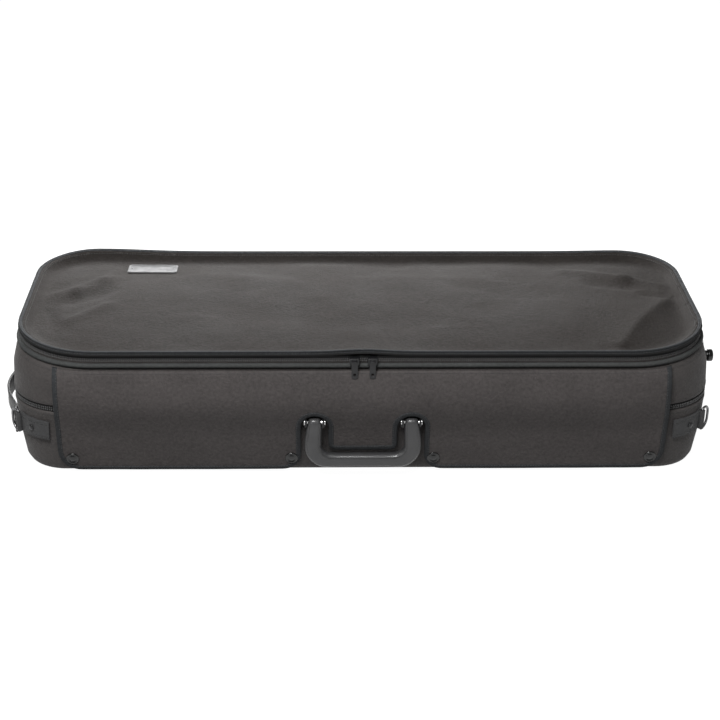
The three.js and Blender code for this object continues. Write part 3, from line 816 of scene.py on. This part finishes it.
def flap_edge(inset, top=FLAP_TOP):
    """The flap's free edge, from its left top corner along the bottom to its right top one."""
    side, low = -FLAP_HALF + inset, FLAP_LOW + inset
    inner_x = -CUT_CENTRE + CUT_RADIUS + inset
    foot_x = -CUT_CENTRE - CUT_RADIUS - FOOT_CORNER
    parts = [
        [(side, top)],
        arc_points(-FLAP_HALF + FLAP_CORNER, FLAP_LOW + FLAP_CORNER, FLAP_CORNER - inset,
                   180, 270, 10),
        arc_points(foot_x, FLAP_LOW + FOOT_CORNER, FOOT_CORNER - inset, 270, 360, 8),
        arc_points(-CUT_CENTRE, CUT_SPRING, CUT_RADIUS + inset, 180, 0, 16),
        arc_points(inner_x - inset + TAB_CORNER, TAB_LOW + TAB_CORNER, TAB_CORNER - inset,
                   180, 270, 5),
    ]
    path = []
    for part in parts:
        if path:
            path += line_points(path[-1], part[0])
        path += part
    path += line_points(path[-1], (0, low + TAB_LOW - FLAP_LOW)) + [(0, TAB_LOW + inset)]
    return path + [(-x, z) for x, z in reversed(path[:-1])]


def flap_crown(z):
    """The cloth swells over the lid's edge, and falls back below the main zip."""
    return 8.4 * smooth(FLAP_TOP - z, -6.0, 38.0) * (1 - 0.86 * smooth(97 - z, 0.0, 50.0))


def flap_wave(x, z):
    """How far the hanging cloth stands off its even surface."""
    spot = Vector((x, 0, z))
    free = min(1.0, max(0.0, (FLAP_TOP - z) / 50.0))
    side = min(1.0, (FLAP_HALF - abs(x)) / 40.0)
    crown = flap_crown(z) * (0.45 + 0.55 * max(0.0, side))
    return crown + free * (0.45 * ripple(spot, 120.0, 2.0) + 0.25 * ripple(spot, 45.0, 6.0)) \
        + 0.12 * ripple(spot, 22.0, 8.0)


def flap_point(x, z, out):
    pinch = 1.2 * math.exp(-((z - FLAP_TOP) / 2.0) ** 2)
    return Vector((x, front_y(x, z, out + flap_wave(x, z) - pinch), z))


def edge_strip(name, inset, width, thick, top=FLAP_TOP):
    """A flat binding folded over the flap's edge."""
    centre = flap_edge(inset + width / 2, top)
    rows = []
    for i, (x, z) in enumerate(centre):
        before = Vector(centre[max(0, i - 1)])
        after = Vector(centre[min(len(centre) - 1, i + 1)])
        along = (after - before).normalized()
        side = Vector((along.y, -along.x))
        row = []
        for a, b in rounded_profile(-width / 2, width / 2, -thick / 2, thick / 2, thick * 0.42):
            px, pz = x + side.x * a, z + side.y * a
            row.append(flap_point(px, pz, FLAP_OUT + FLAP_THICK / 2 + b))
        rows.append(row)
    return skin(name, rows)


def add_flap():
    boundary = flap_edge(1.5)
    boundary += line_points(boundary[-1], boundary[0])
    cloth = flat_mesh("flap_cloth", boundary, 6.0,
                      lambda x, z: flap_point(x, z, FLAP_OUT + FLAP_THICK), 5)
    face_up(cloth, Vector((0, -1, 0)))
    thicken(cloth, 1.7)
    finish_piece(cloth, "flap", "flap", "flap_panel", "flap_head", rides=False)
    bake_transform(cloth)
    tape = edge_strip("flap_edge_binding", 0.0, 6.2, 3.1)
    finish_piece(tape, "binding", "flap", "flap_binding", rides=False)
    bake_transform(tape)
    stitched = [flap_point(x, z, FLAP_OUT + FLAP_THICK + 0.55) for x, z in flap_edge(4.9)]
    spots = [(p, d, Vector((0, -1, 0)), STITCH * 0.7, 0.26) for p, d in walk(stitched, STITCH)]
    thread = finish_piece(beads("flap_seam", spots), "thread", "flap", rides=False)
    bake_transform(thread)
    head = [flap_point(x, FLAP_TOP - 2.4, FLAP_OUT + FLAP_THICK + 0.1)
            for x, _ in line_points((-FLAP_HALF + 3, 0), (FLAP_HALF - 3, 0), 6)]
    seam("flap_head_seam", head, lambda p: Vector((0, -1, 0)), "thread", "lid")


# ---- hardware -------------------------------------------------------------------------------
def copied(node, name):
    """A free copy of a CAD node, which itself stays as it is."""
    piece = NODES[node].copy()
    piece.data = NODES[node].data.copy()
    piece.name = name
    for key in list(piece.keys()):
        del piece[key]
    piece.parent = None
    bpy.context.scene.collection.objects.link(piece)
    return piece


def refined(node, look, body, bevel_mm=0.35, segments=2, subdivide=0):
    """A finer copy of a CAD node: its edges rounded over, then its faces shaded smooth."""
    piece = copied(node, f"{node}_fine")
    work = bmesh.new()
    work.from_mesh(piece.data)
    bmesh.ops.remove_doubles(work, verts=work.verts, dist=1e-6)
    bmesh.ops.dissolve_limit(work, angle_limit=math.radians(1), verts=work.verts,
                             edges=work.edges)
    work.to_mesh(piece.data)
    work.free()
    if bevel_mm:
        bevel = piece.modifiers.new("edges", "BEVEL")
        bevel.width = bevel_mm * MM
        bevel.segments = segments
        bevel.angle_limit = math.radians(35)
        bevel.harden_normals = False
    if subdivide:
        finer = piece.modifiers.new("finer", "SUBSURF")
        finer.levels = subdivide
        finer.render_levels = subdivide
    applied(piece)
    finish_piece(piece, look, body, node)
    piece.data.set_sharp_from_angle(angle=math.radians(40))
    return piece


SNAPS = ((-329.5, 1), (-81, 2), (81, 3), (329.5, 4))
SNAP_Z = 22.0


def turned(name, profile, origin, axis, sides=40):
    """A piece turned about axis from (radius, height) points."""
    axis = axis.normalized()
    side = axis.orthogonal().normalized()
    other = axis.cross(side)
    rows = [[origin + axis * h + (side * math.cos(a) + other * math.sin(a)) * r
             for a in (2 * math.pi * i / sides for i in range(sides))] for r, h in profile]
    return skin(name, rows)


def add_snaps():
    lean = math.atan2(5, 37)  # the body's front leans out by 5 mm over these 37 mm
    axis = Vector((0, -math.cos(lean), -math.sin(lean)))
    for x, n in SNAPS:
        seat = flap_point(x, SNAP_Z, FLAP_OUT + FLAP_THICK + 0.2)
        cap = turned(f"snap_{n}", [
            (0.4, 0), (6.8, 0), (7.2, 0.4), (7.1, 1.0), (6.3, 1.5), (5.5, 1.3), (5.0, 0.6),
            (4.4, 0.5), (3.8, 1.0), (2.6, 1.6), (1.0, 1.9), (0.3, 1.92)], seat, axis)
        finish_piece(cap, "gloss", "flap", f"snap_cap_{n}")
        refined(f"snap_stud_{n}", "dark_steel", "base")


HANDLE_LEG_X = 54.5
HANDLE_Y = -154.5
GRIP_Z = 24.4
GRIP_BEND = 18.8              # radius of the bends from the legs to the grip


def handle_line():
    """The handle's centre line: down one leg, along the grip, and up the other leg."""
    leg = [(HANDLE_LEG_X, 77.6), (HANDLE_LEG_X, 75.6), (HANDLE_LEG_X, 71.0),
           (HANDLE_LEG_X + 0.3, 65.0), (HANDLE_LEG_X + 1.2, 58.0), (HANDLE_LEG_X + 1.7, 51.0),
           (HANDLE_LEG_X + 1.9, 45.0)]
    corner = arc_points(37.6, GRIP_Z + GRIP_BEND, GRIP_BEND, 0, -90, 14)
    grip = [(x, GRIP_Z) for x in (30, 24, 18, 12, 6)]
    half = leg + corner + grip
    return half + [(0, GRIP_Z)] + [(-x, z) for x, z in reversed(half)]


def handle_section(x, z):
    """Half the handle's width and half its depth at a point of its centre line."""
    flare = max(0.0, min(1.0, (74.0 - z) / 24.0)) * max(0.0, min(1.0, (abs(x) - 34) / 12.0))
    return 8.1 + 1.9 * flare, 6.9


def add_handle():
    line = handle_line()
    rows = []
    last = len(line) - 1
    for i, (x, z) in enumerate(line):
        before = Vector(line[max(0, i - 1)])
        after = Vector(line[min(last, i + 1)])
        along = (after - before).normalized()
        side = Vector((along.y, -along.x))
        end = min(i, last - i)
        close = (0.6, 0.9, 1.0)[end] if end < 3 else 1.0
        half_wide, half_deep = handle_section(x, z)
        half_wide *= close
        half_deep *= (0.45, 0.8, 1.0)[end] if end < 3 else 1.0
        row = []
        for k in range(20):
            a = 2 * math.pi * k / 20
            c, s = math.cos(a), math.sin(a)
            u = half_wide * math.copysign(abs(c) ** 0.75, c)
            w = half_deep * math.copysign(abs(s) ** 0.9, s)
            row.append((x + side.x * u, HANDLE_Y + w, z + side.y * u))
        rows.append(row)
    grip = skin("handle_leather", rows)
    finer = grip.modifiers.new("finer", "SUBSURF")
    finer.levels = finer.render_levels = 1
    applied(grip)
    finish_piece(grip, "leather", "handle", "front_handle")
    spots = []
    for offset in (-1, 1):
        path = []
        for i, (x, z) in enumerate(line[2:-2]):
            before, after = Vector(line[i + 1]), Vector(line[i + 3])
            along = (after - before).normalized()
            side = Vector((along.y, -along.x))
            half_wide, half_deep = handle_section(x, z)
            reach = offset * (half_wide - 2.6)
            front = HANDLE_Y - half_deep * 0.93
            path.append(Vector((x + side.x * reach, front, z + side.y * reach)))
        spots += [(p, d, Vector((0, -1, 0)), 2.1, 0.28) for p, d in walk(path, 2.9)]
    finish_piece(beads("handle_seam", spots), "thread", "handle")
    for side in ("left", "right"):
        refined(f"handle_bracket_{side}", "black", "base")
        refined(f"handle_pin_{side}", "steel", "base", 0.3)


def add_ring_sets():
    for side in ("left", "right"):
        ring = refined(f"dring_{side}", "dark_steel", f"ring_{side}", 0, subdivide=2)
        ring.name = f"ring_{side}_wire"
        refined(f"dring_tab_{side}", "webbing", "base", 0.6, 3)
        refined(f"dring_rivet_{side}", "black", "base", 0.3)
        sign = -1 if side == "left" else 1
        for z, n in ((47.0, "low"), (65.0, "high")):
            path = []
            for i in range(13):
                turn = 219 + 34 * i / 12
                p = corner_point(z, 3.25, turn, 2)
                path.append(Vector((-sign * p.x, p.y, p.z)))
            seam(f"ring_tab_seam_{side}_{n}", path, away_from_axis, "thread", "base", 2.6)


def add_end_pieces():
    rows = []
    span, bulge, x_in, thick = 76.0, 24.0, -398.0, 3.4
    for i in range(49):
        y = -span - 11 + (2 * span + 22) * i / 48
        arch = bulge * math.cos(math.pi * max(-1, min(1, y / span)) / 2) ** 1.05
        slope = Vector((-1, -bulge * math.pi / 2 / span * math.sin(math.pi * max(
            -1, min(1, y / span)) / 2) * (abs(y) < span), 0)).normalized()
        sag = 0.8 * math.cos(math.pi * y / 2 / (span + 11))
        row = []
        for a, b in rounded_profile(0, thick, 28.2, 49.8, 1.2):
            row.append(Vector((x_in - arch, y, b - sag)) + slope * a)
        rows.append(row)
    strap = skin("end_strap", rows)
    finish_piece(strap, "strap", "base", "end_handle_strap")
    for sign, n in ((-1, "near"), (1, "far")):
        rows = []
        for inset, out in ((0.3, -0.4), (0, 0.2), (0, 1.6), (0.5, 2.1), (1.2, 2.2)):
            rows.append([(x_in - thick + 0.4 - out, sign * 80.5 + a, b)
                         for a, b in rounded_profile(-9 + inset, 9 - inset, 24 + inset,
                                                     54 - inset, 2.5)])
        finish_piece(skin(f"strap_patch_{n}", rows), "strap", "base")
    for z, n in ((30.8, "low"), (46.4, "high")):
        path = []
        for i in range(33):
            y = -span + 6 + (2 * span - 12) * i / 32
            x = x_in - thick - 0.15 - bulge * math.cos(math.pi * y / (2 * span)) ** 1.05
            path.append(Vector((x, y, z)))
        seam(f"strap_seam_{n}", path, lambda p: Vector((-1, 0, 0)), "thread", "base", 2.8)
    low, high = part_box("end_stud")
    centre = Vector(((low[0]) / MM, (low[1] + high[1]) / 2 / MM, (low[2] + high[2]) / 2 / MM))
    stud = turned("end_stud_turned", [
        (0.4, 0), (8.4, 0), (8.6, 0.5), (8.4, 1.4), (6.6, 2.2), (6.0, 3.0), (6.0, 6.6),
        (6.5, 7.3), (7.1, 7.8), (7.2, 8.6), (7.2, 12.2), (6.9, 13.0), (6.2, 13.5),
        (5.0, 13.6), (4.2, 13.3), (0.4, 13.3)], centre, Vector((1, 0, 0)))
    finish_piece(stud, "gloss", "lid", "end_stud")


def add_sliders():
    for side in ("left", "right"):
        refined(f"pocket_zip_slider_{side}", "black", f"pocket_slider_{side}", 0.7, 3)
        refined(f"pocket_zip_pull_{side}", "black", f"pocket_pull_{side}", 0.35, 2)
        refined(f"main_zip_slider_{side}", "black", f"main_slider_{side}", 0.4, 2)


def add_hinge_strip():
    """One cloth hinge over both CAD strips."""
    rows = []
    for z in (66, 66.4, 70, 74, 77, 79.5, 81.5, 83, 84, 85, 86.5, 88.5, 91, 95, 99, 101.6, 102):
        rows.append([(x, 146.35 + 0.12 * ripple(Vector((x, 0, z)), 30.0), z)
                     for x in range(-300, 301, 12)])
    strip = skin("hinge_cloth", rows, closed=False)
    face_up(strip, Vector((0, 1, 0)))
    thicken(strip, 0.9)
    finish_piece(strip, "binding", "base", "hinge_strip_lower", "hinge_strip_upper",
                 rides=False)
    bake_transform(strip)
    for z, body in ((69, "base"), (99, "lid")):
        path = [Vector((x, 146.4, z)) for x in (-298, 298)]
        seam(f"hinge_seam_{body}", path, lambda p: Vector((0, 1, 0)), "thread", body)


# ---- interior -------------------------------------------------------------------------------
def add_cushion(node, swell_mm):
    """A padded copy of a CAD rest: remeshed, swollen by cloth pressure and held to a cap."""
    piece = copied(node, f"{node}_cushion")
    remesh = piece.modifiers.new("even", "REMESH")
    remesh.mode = "VOXEL"
    remesh.voxel_size = 0.005
    applied(piece)
    low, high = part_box(node)
    middle = (Vector(low) + Vector(high)) / 2
    for vertex in piece.data.vertices:
        vertex.co = middle + (vertex.co - middle) * 0.975
    rest = [v.co.copy() for v in piece.data.vertices]
    cloth = piece.modifiers.new("swell", "CLOTH")
    cloth.settings.use_pressure = True
    cloth.settings.uniform_pressure_force = 4
    cloth.settings.effector_weights.gravity = 0
    for number in range(1, 16):
        bpy.context.scene.frame_set(number)
    applied(piece)
    bpy.context.scene.frame_set(1)
    for vertex, start in zip(piece.data.vertices, rest):
        move = vertex.co - start
        if move.length > swell_mm * MM:
            move = move.normalized() * swell_mm * MM
        vertex.co = start + move
        vertex.co.z = max(vertex.co.z, low[2] + 0.0002)
    smoother = piece.modifiers.new("smooth", "SMOOTH")
    smoother.iterations = 6
    finer = piece.modifiers.new("finer", "SUBSURF")
    finer.levels = finer.render_levels = 1
    applied(piece)
    finish_piece(piece, "plush", "base", node)


def add_interior():
    add_cushion("tail_rest", 4)
    add_cushion("shoulder_rest", 5)
    add_cushion("neck_rest", 2)
    for node, look, body, bevel in (
            ("neck_strap", "binding", "base", 0.4), ("accessory_box", "plush", "base", 0.9),
            ("accessory_lid", "plush", "accessory_lid", 0.9),
            ("accessory_tab", "leather", "accessory_lid", 0.4),
            ("bow_clip_base_1", "plush", "lid", 1.5), ("bow_clip_base_2", "plush", "lid", 1.5),
            ("bow_clip_1", "black", "bow_clip_1", 1.2), ("bow_clip_2", "black", "bow_clip_2", 1.2),
            ("bow_tip_loop_1", "binding", "lid", 0.6), ("bow_tip_loop_2", "binding", "lid", 0.6)):
        refined(node, look, body, bevel, 3)


# ---- room -----------------------------------------------------------------------------------
FLOOR_GLOW = 0.98
WORLD_GLOW = 0.22
# name, place, width and height, and power in watts
LIGHTS = (("key", (-0.1, 0.62, 0.42), (1.1, 0.25), 15),
          ("front", (-0.45, -1.25, 2.0), (1.0, 0.6), 66))
LIGHTS_AIM = Vector((0, 0, 0.08))


def add_room():
    """A pale floor that glows to white but doesn't light the case, a dim world and two lights."""
    mesh = bpy.data.meshes.new("floor")
    mesh.from_pydata([(-6, -6, 0), (6, -6, 0), (6, 6, 0), (-6, 6, 0)], [], [(0, 1, 2, 3)])
    floor = bpy.data.objects.new("floor", mesh)
    bpy.context.scene.collection.objects.link(floor)
    pale = material("floor", (0.12, 0.12, 0.12), 0.95, specular=0.0)
    shader = pale.node_tree.nodes["Principled BSDF"]
    shader.inputs["Emission Color"].default_value = (1, 1, 1, 1)
    shader.inputs["Emission Strength"].default_value = FLOOR_GLOW
    floor.data.materials.append(pale)
    floor.visible_diffuse = False
    world = bpy.data.worlds.new("studio")
    bpy.context.scene.world = world
    world.use_nodes = True
    background = world.node_tree.nodes["Background"]
    background.inputs["Color"].default_value = (1, 1, 1, 1)
    background.inputs["Strength"].default_value = WORLD_GLOW
    for name, spot, (wide, tall), power in LIGHTS:
        data = bpy.data.lights.new(name, "AREA")
        data.shape = "RECTANGLE"
        data.size = wide
        data.size_y = tall
        data.energy = power
        lamp = bpy.data.objects.new(name, data)
        bpy.context.scene.collection.objects.link(lamp)
        lamp.visible_camera = False
        lamp.location = spot
        lamp.rotation_euler = (LIGHTS_AIM - Vector(spot)).to_track_quat(
            "-Z", "Y").to_euler()
    bpy.context.scene.view_settings.view_transform = "Standard"


add_shells()
add_linings()
add_trim()
add_zips()
add_cover()
add_badge()
add_flap()
add_snaps()
add_handle()
add_ring_sets()
add_end_pieces()
add_sliders()
add_hinge_strip()
add_interior()
add_room()
